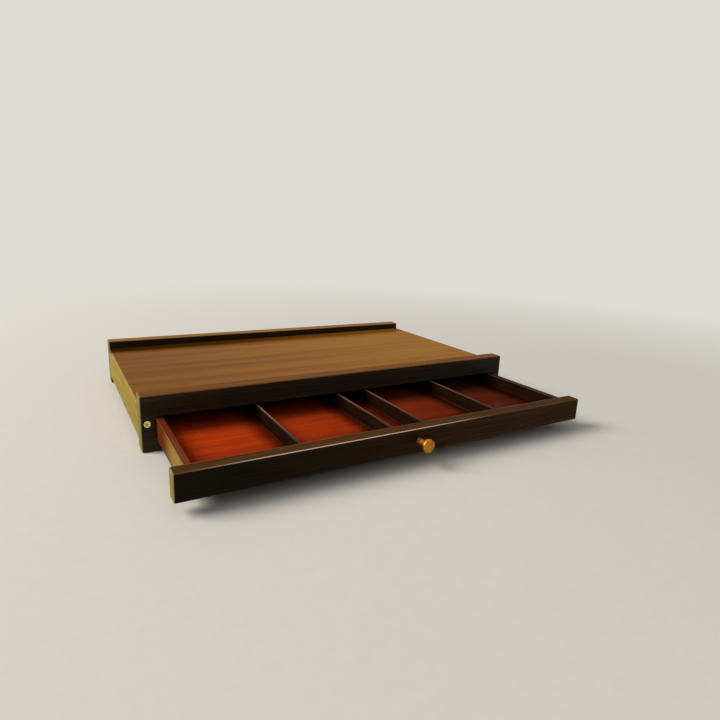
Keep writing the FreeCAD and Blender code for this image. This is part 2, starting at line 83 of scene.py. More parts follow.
# %% [markdown]
# ## Colours and nodes
#
# Every finish here is a small graph of nodes. It could be drawn by hand in the shader editor, but
# written in code it serves every board of the box. A few helpers keep the code readable. The
# first one takes a colour as it looks on a screen, from 0 to 255, and turns it into the shader's
# own scale. The second one adds a node and fills its inputs.

# %% A colour and a node
def screen_colour(red, green, blue):
    """A colour as it looks on a screen, turned into the shader's linear scale."""
    shares = [value / 255 for value in (red, green, blue)]
    linear = [s / 12.92 if s <= 0.04045 else ((s + 0.055) / 1.055) ** 2.4 for s in shares]
    return (*linear, 1.0)


def add_node(tree, kind, values=None, **settings):
    """Adds a node, with its settings and its inputs: each a value or a socket to link."""
    node = tree.nodes.new(kind)
    for setting, value in settings.items():
        setattr(node, setting, value)
    for key, value in (values or {}).items():
        if isinstance(value, bpy.types.NodeSocket):
            tree.links.new(value, node.inputs[key])
        else:
            node.inputs[key].default_value = value
    return node


print("the screen's middle grey in the shader:", round(screen_colour(128, 128, 128)[0], 3))

# %% [markdown]
# ## Sums, mixes and shares
#
# A pattern on the wood is built from small sums. A share is a number from 0 to 1 that says how
# much of a finish a point gets. It could jump from one to the other, but it rises smoothly here,
# because stain and wear have soft borders. Every pattern starts from Object coordinates, which
# are the point's place in metres, so its scale is right on large and small pieces alike.

# %% Sums and mixes
def sum_of(tree, operation, first, second=0.0):
    """One step of arithmetic on two numbers."""
    return add_node(tree, "ShaderNodeMath", {0: first, 1: second}, operation=operation).outputs[0]


def vector_of(tree, operation, first, second=(0, 0, 0)):
    """One step of arithmetic on two vectors."""
    values = {0: first, 1: second}
    return add_node(tree, "ShaderNodeVectorMath", values, operation=operation).outputs[0]


def length_of(tree, vector):
    """How long a vector is."""
    return add_node(tree, "ShaderNodeVectorMath", {0: vector}, operation="LENGTH").outputs["Value"]


def colour_mix(tree, share, first, second, blend="MIX"):
    """Two colours mixed by a share from 0 to 1."""
    values = {0: share, 6: first, 7: second}
    node = add_node(tree, "ShaderNodeMix", values, data_type="RGBA", blend_type=blend)
    return node.outputs[2]


# %% Shares, places and noise
def share_between(tree, value, low, high):
    """0 below the low value, 1 above the high one, and a smooth rise between them."""
    values = {0: value, 1: low, 2: high}
    node = add_node(tree, "ShaderNodeMapRange", values, interpolation_type="SMOOTHSTEP")
    return node.outputs[0]


def near_share(tree, distance, full, none):
    """1 up to the full distance and 0 past the other one."""
    return sum_of(tree, "SUBTRACT", 1.0, share_between(tree, distance, full, none))


def object_place(tree):
    """The place of a point, in metres."""
    return add_node(tree, "ShaderNodeTexCoord").outputs["Object"]


def place_parts(tree):
    """The X, Y and Z of a point."""
    return add_node(tree, "ShaderNodeSeparateXYZ", {0: object_place(tree)}).outputs


def noise_of(tree, vector, detail, roughness, scale=1.0):
    """Soft noise from 0 to 1 at places that a vector gives."""
    values = {"Vector": vector, "Scale": scale, "Detail": detail, "Roughness": roughness}
    return add_node(tree, "ShaderNodeTexNoise", values).outputs[0]


# %% [markdown]
# ## Materials
#
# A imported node's object already has its slots. A finish could be added to them, but then the
# packed one would still show, so it takes their place in every slot.

# %% An empty material, and a node that gets it
def new_material(name):
    """An empty material with one shader, and the tree that holds it."""
    material = bpy.data.materials.new(name)
    material.use_nodes = True
    tree = material.node_tree
    return material, tree, tree.nodes["Principled BSDF"]


def finish_node(name, material):
    """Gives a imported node's object a material in each of its slots."""
    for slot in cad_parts[name].material_slots:
        slot.material = material
    print(name, "wears", material.name, "with", len(material.node_tree.nodes), "nodes")


# %% [markdown]
# ## The grain of the wood
#
# Beech has fine straight streaks, a few broad bands and thousands of small dark flecks along the
# grain. A wave texture could draw the streaks, but it looks ruled. Here each of the three is
# noise that is stretched along the board, and a slight waviness bends it. Each board takes its
# noise from another place, so no two boards look the same.

# %% The grain's streaks, bands and flecks
STREAKS_PER_METRE = (16, 850)
BANDS_PER_METRE = (2.5, 75)
FLECKS_PER_METRE = (330, 3600)
STREAK_CONTRAST = (0.34, 0.68)
BAND_CONTRAST = (0.3, 0.7)
FLECK_CONTRAST = (0.6, 0.68)
GRAIN_WAVES_PER_METRE = 9.0
GRAIN_WAVE_METRES = 0.005
NEXT_BOARD = (0.37, 0.71, 0.53)


def stretched(tree, place, along, per_metre):
    """A place scaled little along the grain and much across it."""
    slow, fast = per_metre
    return vector_of(tree, "MULTIPLY", place, [slow if axis == along else fast for axis in "XYZ"])


def wavy_place(tree, seed):
    """A point's place in the board's own stretch of noise, slightly bent."""
    moved = vector_of(tree, "ADD", object_place(tree), [seed * step for step in NEXT_BOARD])
    values = {"Vector": moved, "Scale": GRAIN_WAVES_PER_METRE, "Detail": 1.0}
    wave = add_node(tree, "ShaderNodeTexNoise", values).outputs["Color"]
    bend = vector_of(tree, "SUBTRACT", wave, (0.5, 0.5, 0.5))
    bend = vector_of(tree, "MULTIPLY", bend, (GRAIN_WAVE_METRES,) * 3)
    return vector_of(tree, "ADD", moved, bend)


def grain_of(tree, along, seed):
    """Streaks, bands and flecks of a board whose grain runs along one axis."""
    place = wavy_place(tree, seed)
    streak_place = stretched(tree, place, along, STREAKS_PER_METRE)
    band_place = stretched(tree, place, along, BANDS_PER_METRE)
    fleck_place = stretched(tree, place, along, FLECKS_PER_METRE)
    streaks = noise_of(tree, streak_place, detail=4.0, roughness=0.62)
    bands = noise_of(tree, band_place, detail=2.0, roughness=0.5)
    flecks = noise_of(tree, fleck_place, detail=1.0, roughness=0.5)
    return (
        share_between(tree, streaks, *STREAK_CONTRAST),
        share_between(tree, bands, *BAND_CONTRAST),
        share_between(tree, flecks, *FLECK_CONTRAST),
    )


print("streaks per metre, along and across the grain:", STREAKS_PER_METRE)

# %% [markdown]
# ## The edges and faces of a board
#
# Hands and sandpaper thin the stain along the sharp edges of a board. The edges could be found
# with the Bevel or Pointiness nodes, but these depend on the mesh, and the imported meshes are
# coarse. Instead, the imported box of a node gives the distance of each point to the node's faces.
# The second smallest of the three distances is the distance to the nearest edge, wherever the
# board lies. The same distances tell the top face and the two ends from the rest.

# %% Distances to the faces and edges
def face_distances(tree, node):
    """How far a point lies inside the box of a node, along X, Y and Z."""
    low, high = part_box(node)
    from_middle = vector_of(tree, "SUBTRACT", object_place(tree), (low + high) / 2)
    off_middle = vector_of(tree, "ABSOLUTE", from_middle)
    inside = vector_of(tree, "SUBTRACT", (high - low) / 2, off_middle)
    return add_node(tree, "ShaderNodeSeparateXYZ", {0: inside}).outputs


def edge_distance(tree, node):
    """How far a point on a board's surface lies from the nearest edge."""
    x, y, z = face_distances(tree, node)
    low = sum_of(tree, "MINIMUM", x, y)
    high = sum_of(tree, "MAXIMUM", x, y)
    return sum_of(tree, "MAXIMUM", low, sum_of(tree, "MINIMUM", high, z))


# %% Shares for single faces
FACE_DEPTH = 0.0011


def top_face(tree, node):
    """1 on the top face of a node and 0 below it."""
    depth = sum_of(tree, "SUBTRACT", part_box(node)[1].z, place_parts(tree)[2])
    return near_share(tree, depth, FACE_DEPTH / 4, FACE_DEPTH)


def left_and_right_faces(tree, node):
    """1 on the left and right faces of a node and 0 between them."""
    return near_share(tree, face_distances(tree, node)[0], FACE_DEPTH / 4, FACE_DEPTH)


def towards_the_right(tree, node):
    """A share that rises from 0 at the left of a node to 1 at its right."""
    low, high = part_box(node)
    return share_between(tree, place_parts(tree)[0], low.x, high.x)


print("a face reaches", FACE_DEPTH * 1000, "mm deep")

# %% [markdown]
# ## The stain
#
# Stained beech could have one brown, but a real stain sinks in unevenly. So it is a dark and a
# light tone, mixed by the streaks, shaded by the bands and dotted with flecks. A face can have
# other tones, some painted lighter as if lit, and painted shade darkens some places.

# %% The colour of the stain
BAND_SHADES = ((0.86, 0.84, 0.82, 1), (1.1, 1.12, 1.14, 1))
FLECK_SHADE = (0.5, 0.45, 0.4, 1)
FLECK_STRENGTH = 0.5
# Painted shade: the stain is multiplied by this dark tone where shade is painted.
PAINTED_SHADE_TONE = (0.2, 0.17, 0.17, 1)


def two_tones(tree, share, tones):
    """A dark and a light tone mixed by a share."""
    dark, light = tones
    return colour_mix(tree, share, screen_colour(*dark), screen_colour(*light))


def shaded(tree, share, colour, shade):
    """A colour multiplied by a shade, as far as a share says."""
    return colour_mix(tree, share, colour, shade, "MULTIPLY")


def stain_of(tree, node, marks, tones, faces, grain):
    """The stain of a board, with its marks and the other tones of some faces."""
    streaks, bands, flecks = marks
    mixed = sum_of(tree, "ADD", sum_of(tree, "MULTIPLY", streaks, grain), (1 - grain) / 2)
    colour = two_tones(tree, mixed, tones)
    for face, face_tones in faces:
        colour = colour_mix(tree, face(tree, node), colour, two_tones(tree, mixed, face_tones))
    colour = shaded(tree, 1.0, colour, colour_mix(tree, bands, *BAND_SHADES))
    return shaded(tree, sum_of(tree, "MULTIPLY", flecks, FLECK_STRENGTH), colour, FLECK_SHADE)


# %% [markdown]
# ## Wear
#
# Along the edges the stain is rubbed thin. It could be an even pale line, but a used board is
# handled more in some places than in others. So the line comes and goes in soft patches.

# %% Where the stain is rubbed off
PATCHES_PER_METRE = 45.0
PATCH_CONTRAST = (0.35, 0.7)
WORN_EDGE = (0.0002, 0.0011)


def handled_patches(tree):
    """Where hands have touched the wood more and less."""
    noise = noise_of(tree, object_place(tree), detail=3.0, roughness=0.6, scale=PATCHES_PER_METRE)
    return share_between(tree, noise, *PATCH_CONTRAST)


def rubbed_and_highlight_share(tree, node, patches, wear, painted_highlight):
    """How far the stain is rubbed off in patches along the edges, and where a highlight is
    painted.
    """
    near_edge = near_share(tree, edge_distance(tree, node), *WORN_EDGE)
    uneven = sum_of(tree, "ADD", sum_of(tree, "MULTIPLY", patches, 0.5), 0.5)
    rubbed_and_highlight = sum_of(tree, "MULTIPLY", near_edge, sum_of(tree, "MULTIPLY", uneven, wear))
    if painted_highlight:
        rubbed_and_highlight = sum_of(tree, "MAXIMUM", rubbed_and_highlight, painted_highlight(tree, node))
    return rubbed_and_highlight


# %% [markdown]
# ## Lacquer
#
# The lacquer could be a glossy shader of its own, but a thin coat over the matt stain is nearer
# to the real layers. It has the faint swell of brushed varnish, and the grain shows through it
# as a very low relief.

# %% The coat and its relief
SWELLS_PER_METRE = 420.0
RELIEF_STRENGTH = 0.5
LACQUER_ROUGHNESS = 0.12
UNEVEN_ROUGHNESS = 0.06


def add_lacquer(tree, shader, marks, patches, roughness, lacquer, relief):
    """A thin coat over the stain, uneven in its gloss, with the grain in low relief."""
    streaks, _, flecks = marks
    uneven = sum_of(tree, "ADD", streaks, patches)
    dull = sum_of(tree, "MULTIPLY", uneven, UNEVEN_ROUGHNESS)
    tree.links.new(sum_of(tree, "ADD", dull, roughness), shader.inputs["Roughness"])
    swell = noise_of(tree, object_place(tree), detail=1.0, roughness=0.5, scale=SWELLS_PER_METRE)
    height = sum_of(tree, "SUBTRACT", sum_of(tree, "MULTIPLY", streaks, 0.5), flecks)
    height = sum_of(tree, "ADD", height, swell)
    values = {"Height": height, "Strength": RELIEF_STRENGTH, "Distance": relief}
    bump = add_node(tree, "ShaderNodeBump", values)
    tree.links.new(bump.outputs[0], shader.inputs["Normal"])
    shader.inputs["Specular IOR Level"].default_value = 0.0
    shader.inputs["Coat Weight"].default_value = lacquer
    shader.inputs["Coat Roughness"].default_value = LACQUER_ROUGHNESS


# %% [markdown]
# ## Stained and lacquered wood
#
# Each board could have a material of its own, written out in full. One recipe for all of them is
# shorter, and it keeps them alike, as boards from one workshop are. What differs from board to
# board is given to the recipe: the tones, the wear, the gloss, the painted highlights and where
# shade is painted.

# %% The recipe for wood
WORN_BROWN = (150, 105, 70)
FINE_RELIEF_METRES = 0.00005


def stained_wood(
    node, along, seed, tones, faces=(), painted_shade=None, painted_highlight=None, wear_and_highlight_tone=WORN_BROWN, wear=0.4,
    grain=0.8, roughness=0.42, lacquer=0.18, relief=FINE_RELIEF_METRES,
):
    """Gives a node a wooden finish. Tones go from 0 to 255, and shares from 0 to 1."""
    material, tree, shader = new_material(f"{node}_finish")
    marks = grain_of(tree, along, seed)
    patches = handled_patches(tree)
    colour = stain_of(tree, node, marks, tones, faces, grain)
    # Painted shade, where a board has it, darkens the stain.
    if painted_shade:
        colour = shaded(tree, painted_shade(tree), colour, PAINTED_SHADE_TONE)
    # Worn edges and painted highlights share one mix with the pale tone.
    rubbed_and_highlight = rubbed_and_highlight_share(tree, node, patches, wear, painted_highlight)
    colour = colour_mix(tree, rubbed_and_highlight, colour, screen_colour(*wear_and_highlight_tone))
    tree.links.new(colour, shader.inputs["Base Color"])
    add_lacquer(tree, shader, marks, patches, roughness, lacquer, relief)
    finish_node(node, material)


# %% [markdown]
# ## The boards of the case
#
# The front and rear boards are nearly black on their upright faces. Their top faces are painted a
# lighter brown, as if light fell on them from above, and their cut ends show a golden tone. The
# sides have a warmer golden tone all over. Each board could be split into faces with a material
# each. The shares for single faces do the same and leave the imported mesh alone.

# %% Finish the boards of the case
FRONT_BLACK = ((46, 40, 31), (64, 56, 44))
# Painted light: the lip and rim tops are lighter than the upright faces, as if lit from above.
LIT_LIP_BROWN = ((102, 60, 22), (126, 78, 34))
REAR_BLACK = ((44, 32, 25), (63, 46, 36))
LIT_RIM_BROWN = ((126, 90, 42), (168, 122, 62))
GOLDEN = ((136, 114, 44), (164, 141, 64))
GOLDEN_END = ((121, 112, 59), (137, 127, 70))
WORN_GOLD = (190, 172, 104)

stained_wood(
    "front_board", "X", 1, FRONT_BLACK,
    faces=((top_face, LIT_LIP_BROWN), (left_and_right_faces, GOLDEN_END)), wear=0.25, lacquer=0.08,
)
stained_wood(
    "rear_board", "X", 2, REAR_BLACK,
    faces=((top_face, LIT_RIM_BROWN), (left_and_right_faces, GOLDEN_END)), lacquer=0.07,
)
stained_wood("left_side", "Y", 3, GOLDEN, wear_and_highlight_tone=WORN_GOLD, lacquer=0.08)
stained_wood("right_side", "Y", 4, GOLDEN, wear_and_highlight_tone=WORN_GOLD, lacquer=0.08)

# %% [markdown]
# ## The flat top
#
# The top is a warm brown, more golden towards the right, with a soft gloss. Along the foot of the
# rim, most of all at the left, a painted shade darkens the brown; it stands for the dark rim's
# reflection in the top. A real reflection of the rim could give that band, but it would need a
# mirror-like top, which would look wet from other sides.

# %% Finish the top
TOP_BROWN = ((112, 66, 18), (134, 84, 28))
TOP_GOLDEN_BROWN = ((140, 88, 20), (164, 110, 34))
# Painted shade: a dark band along the foot of the rim stands for the rim's reflection in the
# glossy top.
RIM_SHADE = (0.016, 0.032)
RIM_FADE = 0.45


def shade_along_the_rim(tree):
    """How much painted shade lies near the rim, less of it towards the right."""
    from_rim = sum_of(tree, "SUBTRACT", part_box("rear_board")[0].y, place_parts(tree)[1])
    to_the_right = sum_of(tree, "MULTIPLY", towards_the_right(tree, "top_panel"), RIM_FADE)
    strength = sum_of(tree, "SUBTRACT", 1.0, to_the_right)
    return sum_of(tree, "MULTIPLY", near_share(tree, from_rim, *RIM_SHADE), strength)


stained_wood(
    "top_panel", "X", 5, TOP_BROWN,
    faces=((towards_the_right, TOP_GOLDEN_BROWN), (left_and_right_faces, GOLDEN)),
    painted_shade=shade_along_the_rim, wear=0.15, grain=0.45, roughness=0.36, lacquer=0.14,
)

# %% [markdown]
# ## The hidden wood of the case
#
# The bottom panel, the kickers over the drawer sides and the stop block are seen only from below
# or with the drawer out. They could be left raw, but a workshop stains them with the rest. They
# get hardly any lacquer, so they are matt. Only the dowels in the corners are raw beech.

# %% Finish the hidden wood
UNSEEN_BROWN = ((64, 38, 20), (98, 62, 34))
RAW_BEECH = ((176, 134, 86), (206, 166, 114))
OPEN_RELIEF_METRES = 0.0001
HIDDEN_PIECES = (
    ("bottom_panel", "X"), ("left_kicker", "Y"), ("right_kicker", "Y"), ("drawer_stop", "X"),
)

for number, (node, along) in enumerate(HIDDEN_PIECES):
    stained_wood(
        node, along, 10 + number, UNSEEN_BROWN, wear=0.3, roughness=0.6, lacquer=0.03,
        relief=OPEN_RELIEF_METRES,
    )
stained_wood("case_dowels", "Y", 15, RAW_BEECH, wear=0.0, roughness=0.65, lacquer=0.0)

# %% [markdown]
# ## The drawer front
#
# The drawer front is almost black, and a little redder towards the right. Its top face is painted
# a lighter brown, as if lit from above. A painted highlight, a bright pale line, runs along the
# middle of its upper front edge. A lamp could draw that line as a glint, but it would move with
# the camera. Painted as a pale tone, it stays.

# %% Finish the drawer front
DRAWER_BLACK = ((24, 20, 13), (38, 31, 20))
DRAWER_RED_BLACK = ((52, 34, 18), (80, 53, 30))
# Painted light: the top face is lighter, as if lit from above.
LIT_DRAWER_TOP_BROWN = ((58, 34, 9), (86, 54, 19))
# Painted highlight: a pale line along the middle of the upper front edge.
HIGHLIGHT_PALE = (246, 212, 188)
HIGHLIGHT_MIDDLE_X = -0.055
HIGHLIGHT_WIDTH = (0.0003, 0.0009)
HIGHLIGHT_HALF_LENGTH = (0.05, 0.16)


def painted_edge_highlight(tree, node):
    """A painted highlight along the middle of the drawer front's upper front edge."""
    low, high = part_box(node)
    x, y, z = place_parts(tree)
    from_face = sum_of(tree, "SUBTRACT", y, low.y)
    from_top = sum_of(tree, "SUBTRACT", high.z, z)
    from_edge = sum_of(tree, "MAXIMUM", from_face, from_top)
    off_middle = sum_of(tree, "ABSOLUTE", sum_of(tree, "SUBTRACT", x, HIGHLIGHT_MIDDLE_X))
    line = near_share(tree, from_edge, *HIGHLIGHT_WIDTH)
    return sum_of(tree, "MULTIPLY", line, near_share(tree, off_middle, *HIGHLIGHT_HALF_LENGTH))


stained_wood(
    "drawer_front", "X", 20, DRAWER_BLACK,
    faces=(
        (towards_the_right, DRAWER_RED_BLACK),
        (top_face, LIT_DRAWER_TOP_BROWN),
        (left_and_right_faces, GOLDEN_END),
    ),
    painted_highlight=painted_edge_highlight, wear_and_highlight_tone=HIGHLIGHT_PALE, wear=0.1, lacquer=0.06,
)

# %% [markdown]
# ## The drawer's floor
#
# The bays are lined by a thin floor with a strong red stain. The red is painted darker towards the
# right, a painted shade for light that falls off from the left. Along the walls of the bays a
# painted shade darkens the red, most of all at the right end of each, where it stands for the
# reflection of the dark dividers, so the red is nearly black there; behind the drawer front a
# wider, fainter band stands for a shadow. The shade could be painted by hand. Here the places of
# the walls give it, so it follows if the dividers move. Below, the floor is plain brown.

# %% Painted shade along the walls of the bays
# Painted shade: dark bands along the walls of the bays and a fainter band behind the drawer front.
BAY_SHADE_WIDTH = 0.022
LEFT_BAY_SHADE_NARROWER = 3.5
FRONT_BAY_SHADE = (0.02, 0.075)
FRONT_BAY_SHADE_STRENGTH = 0.45
BAY_WALLS = (
    "drawer_left_side", "drawer_right_side", "divider_1", "divider_2", "divider_3", "divider_4",
)


def wall_distance(tree, x, wall):
    """How far a point lies from a wall, counted several times on the wall's right."""
    low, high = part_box(wall)
    left_of_it = sum_of(tree, "SUBTRACT", low.x, x)
    right_of_it = sum_of(tree, "SUBTRACT", x, high.x)
    right_of_it = sum_of(tree, "MULTIPLY", right_of_it, LEFT_BAY_SHADE_NARROWER)
    return sum_of(tree, "MAXIMUM", left_of_it, right_of_it)


def shade_along_the_bays(tree):
    """How much painted shade lies along the walls of the bays."""
    x, y, _ = place_parts(tree)
    from_front = sum_of(tree, "SUBTRACT", y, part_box("drawer_front")[1].y)
    from_back = sum_of(tree, "SUBTRACT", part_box("drawer_back")[0].y, y)
    nearest = sum_of(tree, "MINIMUM", from_front, from_back)
    for wall in BAY_WALLS:
        nearest = sum_of(tree, "MINIMUM", nearest, wall_distance(tree, x, wall))
    painted_shade = near_share(tree, nearest, 0.0, BAY_SHADE_WIDTH)
    in_front = near_share(tree, from_front, *FRONT_BAY_SHADE)
    in_front = sum_of(tree, "MULTIPLY", in_front, FRONT_BAY_SHADE_STRENGTH)
    return sum_of(tree, "MAXIMUM", painted_shade, in_front)


# %% Finish the drawer's floor
BAY_RED = ((166, 48, 12), (194, 68, 22))
# Painted shade: the deeper red towards the right stands for light falling off from the left.
BAY_SHADED_RED = ((68, 28, 13), (90, 38, 19))


def underside(tree, node):
    """1 on the lower face of a node and 0 above it."""
    height = sum_of(tree, "SUBTRACT", place_parts(tree)[2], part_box(node)[0].z)
    return near_share(tree, height, FACE_DEPTH, 2 * FACE_DEPTH)


stained_wood(
    "drawer_floor", "X", 21, BAY_RED,
    faces=((towards_the_right, BAY_SHADED_RED), (underside, UNSEEN_BROWN)),
    painted_shade=shade_along_the_bays, wear=0.0, grain=0.6, lacquer=0.06,
)

# %% [markdown]
# ## The drawer's sides and back
#
# The left side and the back are red brown, and the right side is darker. Their top faces are
# painted a little lighter, as if lit from above. Near the drawer front, the outer faces of the
# sides are painted a golden tone, as if lit from the left, which fades into the red brown towards
# the rear. One tone for a whole side would be simpler, but the change from gold to red is easy to
# see on the open drawer.

# %% Finish the drawer's sides and back
LEFT_RED_BROWN = ((80, 34, 12), (112, 52, 22))
RIGHT_DARK_BROWN = ((25, 14, 9), (42, 23, 14))
LIT_RIGHT_TOP_BROWN = ((42, 25, 17), (62, 38, 26))
BACK_BROWN = ((52, 24, 12), (80, 40, 20))
# Painted light: the top tones are lighter, as if lit from above, and the golden outer faces near
# the front stand for light from the left.
LIT_RED_BROWN_TOP = ((90, 36, 14), (118, 54, 26))
LIT_GOLDEN = ((126, 98, 40), (150, 128, 60))
OUTER_FACE_DEPTH = (0.0003, 0.0007)
GOLD_FROM_FRONT = (0.03, 0.085)


def outer_face(tree, node):
    """The front part of the face of a drawer side that looks away from the drawer."""
    low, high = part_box(node)
    outer = low.x if low.x < 0 else high.x
    x, y, _ = place_parts(tree)
    depth = sum_of(tree, "ABSOLUTE", sum_of(tree, "SUBTRACT", x, outer))
    fading = near_share(tree, sum_of(tree, "SUBTRACT", y, low.y), *GOLD_FROM_FRONT)
    return sum_of(tree, "MULTIPLY", near_share(tree, depth, *OUTER_FACE_DEPTH), fading)


stained_wood(
    "drawer_left_side", "Y", 22, LEFT_RED_BROWN,
    faces=((top_face, LIT_RED_BROWN_TOP), (outer_face, LIT_GOLDEN)), wear=0.2, lacquer=0.1,
)
stained_wood(
    "drawer_right_side", "Y", 23, RIGHT_DARK_BROWN,
    faces=((top_face, LIT_RIGHT_TOP_BROWN), (outer_face, LIT_GOLDEN)), wear=0.2, lacquer=0.1,
)
stained_wood("drawer_back", "X", 24, BACK_BROWN, faces=((top_face, LIT_RED_BROWN_TOP),))

# %% [markdown]
# ## The dividers
#
# The dividers are thin dark strips, and light catches their rounded top edges as a fine line.
# The imported strips could be rounded more, but the line is only about a millimetre wide. So it is
# a painted highlight, a pale tone along the middle of the top edge, which gets fainter towards the
# front. The top faces are painted a little lighter, as if lit from above.

# %% Finish the dividers
DIVIDER_BROWN = ((26, 14, 8), (42, 25, 15))
# Painted light: the top faces are a little lighter, as if lit from above; the pale line is a
# painted highlight.
LIT_DIVIDER_TOP_BROWN = ((32, 19, 12), (48, 29, 19))
HIGHLIGHT_LINE_PALE = (176, 132, 108)
LINE_HALF_WIDTH = (0.0003, 0.0009)
LINE_DEPTH = (0.0001, 0.0004)
LINE_STARTS_BEFORE = 0.03
LINE_FULL_AFTER = 0.11
LINE_STRENGTH = 0.7


def divider_top_highlight(tree, node):
    """A painted highlight: a thin bright line along the middle of a divider's top edge, fainter
    towards the front.
    """
    low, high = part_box(node)
    x, y, z = place_parts(tree)
    off_middle = sum_of(tree, "ABSOLUTE", sum_of(tree, "SUBTRACT", x, (low.x + high.x) / 2))
    line = near_share(tree, off_middle, *LINE_HALF_WIDTH)
    on_top = near_share(tree, sum_of(tree, "SUBTRACT", high.z, z), *LINE_DEPTH)
    rear = share_between(tree, y, low.y - LINE_STARTS_BEFORE, low.y + LINE_FULL_AFTER)
    strength = sum_of(tree, "MULTIPLY", rear, LINE_STRENGTH)
    return sum_of(tree, "MULTIPLY", sum_of(tree, "MULTIPLY", line, on_top), strength)


for number in (1, 2, 3, 4):
    stained_wood(
        f"divider_{number}", "Y", 30 + number, DIVIDER_BROWN,
        faces=((top_face, LIT_DIVIDER_TOP_BROWN),), painted_highlight=divider_top_highlight, wear_and_highlight_tone=HIGHLIGHT_LINE_PALE, wear=0.08,
        lacquer=0.06,
    )
print("wooden finishes:", sum(name.endswith("_finish") for name in bpy.data.materials.keys()))

# %% [markdown]
# ## Brass and steel
#
# The brass is turned, so very fine rings run round its axis. An anisotropic shader could stretch
# the gloss round the axis, but it needs a tangent that the export can lose. Here the rings are
# noise on the distance from that axis, in the relief and the roughness. Small dull patches come
# from handling, and the tone shifts a little between them. The knob's neck, which a cloth hardly
# reaches, is duller than its head.

# %% The rings of the lathe
RINGS_PER_METRE = 5200


def lathe_rings(tree, from_axis, along):
    """Fine rings round the axis: noise on the way along the surface."""
    flat = vector_of(tree, "MULTIPLY", from_axis, (1, 0, 1))
    path = sum_of(tree, "ADD", length_of(tree, flat), along)
    path = sum_of(tree, "MULTIPLY", path, RINGS_PER_METRE)
    line = add_node(tree, "ShaderNodeCombineXYZ", {0: path})
    return noise_of(tree, line.outputs[0], detail=2.0, roughness=0.6)


# %% The recipe for turned metal
SPOTS_PER_METRE = 330.0
SPOT_CONTRAST = (0.4, 0.7)
RING_RELIEF = {"Strength": 0.35, "Distance": 0.00002}
UNEVEN_METAL = 0.12
NECK_DULLNESS = 0.25
NECK_BORDER = 0.0008


def turned_metal(name, axis_point, tones, roughness, neck_reach=None):
    """A metal with fine rings round an axis along Y through a point, duller behind a reach."""
    material, tree, shader = new_material(name)
    place = object_place(tree)
    from_axis = vector_of(tree, "SUBTRACT", place, axis_point)
    along = add_node(tree, "ShaderNodeSeparateXYZ", {0: from_axis}).outputs[1]
    rings = lathe_rings(tree, from_axis, along)
    spots = noise_of(tree, place, detail=3.0, roughness=0.6, scale=SPOTS_PER_METRE)
    spots = share_between(tree, spots, *SPOT_CONTRAST)
    tree.links.new(two_tones(tree, spots, tones), shader.inputs["Base Color"])
    dull = sum_of(tree, "MULTIPLY", sum_of(tree, "ADD", rings, spots), UNEVEN_METAL)
    if neck_reach:
        neck = share_between(tree, along, -neck_reach - NECK_BORDER, -neck_reach + NECK_BORDER)
        dull = sum_of(tree, "ADD", dull, sum_of(tree, "MULTIPLY", neck, NECK_DULLNESS))
    tree.links.new(sum_of(tree, "ADD", dull, roughness), shader.inputs["Roughness"])
    bump = add_node(tree, "ShaderNodeBump", {"Height": rings, **RING_RELIEF})
    tree.links.new(bump.outputs[0], shader.inputs["Normal"])
    shader.inputs["Metallic"].default_value = 1.0
    print(name, "nodes:", len(tree.nodes))
    return material


# %% [markdown]
# ## A turned piece
#
# A knob is turned on a lathe. The Spin tool could do that with half an outline, but it leaves a
# seam to merge. A ring of points that is pulled out step by step along the axis and scaled at
# each step gives the same form without one. The first ring is a filled circle, so both ends are
# closed. A small bevel then breaks every sharp edge, as the turner does with a file.

# %% Pull a ring out along the axis
MM = 0.001


def pull_out(centre, steps, points):
    """Adds a filled ring and pulls it forward along Y: each step is a reach and a radius."""
    reach, radius = steps[0]
    bpy.ops.mesh.primitive_circle_add(
        vertices=points, radius=radius, fill_type="NGON",
        location=Vector(centre) - Vector((0, reach, 0)),
        rotation=(math.radians(90), 0, 0), enter_editmode=True,
    )
    for next_reach, next_radius in steps[1:]:
        move = (0, reach - next_reach, 0)
        bpy.ops.mesh.extrude_region_move(TRANSFORM_OT_translate={"value": move})
        middle = Vector(centre) - Vector((0, next_reach, 0))
        scale = next_radius / radius
        bpy.ops.transform.resize(value=(scale, 1, scale), center_override=middle)
        reach, radius = next_reach, next_radius
    bpy.ops.mesh.select_all(action="SELECT")
    bpy.ops.mesh.normals_make_consistent(inside=False)
    bpy.ops.object.mode_set(mode="OBJECT")


# %% Turn a piece
BROKEN_EDGE_SEGMENTS = 3
SHARP_EDGE_DEGREES = 25
SMOOTH_UP_TO_DEGREES = 35


def turned_piece(name, centre, steps_mm, points, edge_mm):
    """A round piece on an axis along Y, from reaches and radii in millimetres."""
    bpy.ops.object.select_all(action="DESELECT")
    pull_out(centre, [(reach * MM, radius * MM) for reach, radius in steps_mm], points)
    piece = bpy.context.object
    piece.name = name
    bpy.ops.object.transform_apply(location=True, rotation=True, scale=True)
    bevel = piece.modifiers.new("broken edges", "BEVEL")
    bevel.width = edge_mm * MM
    bevel.segments = BROKEN_EDGE_SEGMENTS
    bevel.limit_method = "ANGLE"
    bevel.angle_limit = math.radians(SHARP_EDGE_DEGREES)
    bpy.ops.object.modifier_apply(modifier=bevel.name)
    bpy.ops.object.shade_smooth_by_angle(angle=math.radians(SMOOTH_UP_TO_DEGREES))
    print(name, "faces:", len(piece.data.polygons))
    return piece


# %% [markdown]
# ## The knob
#
# The knob stands on a small foot against the drawer front. A thin neck flares into a head with a
# cone behind it and a nearly flat face, which a faint ring sets off. A stack of cylinders could
# stand for it, but the cone and the rounded rim give the brass its glints. Its steps are in
# millimetres from the drawer front, with the radius at each.

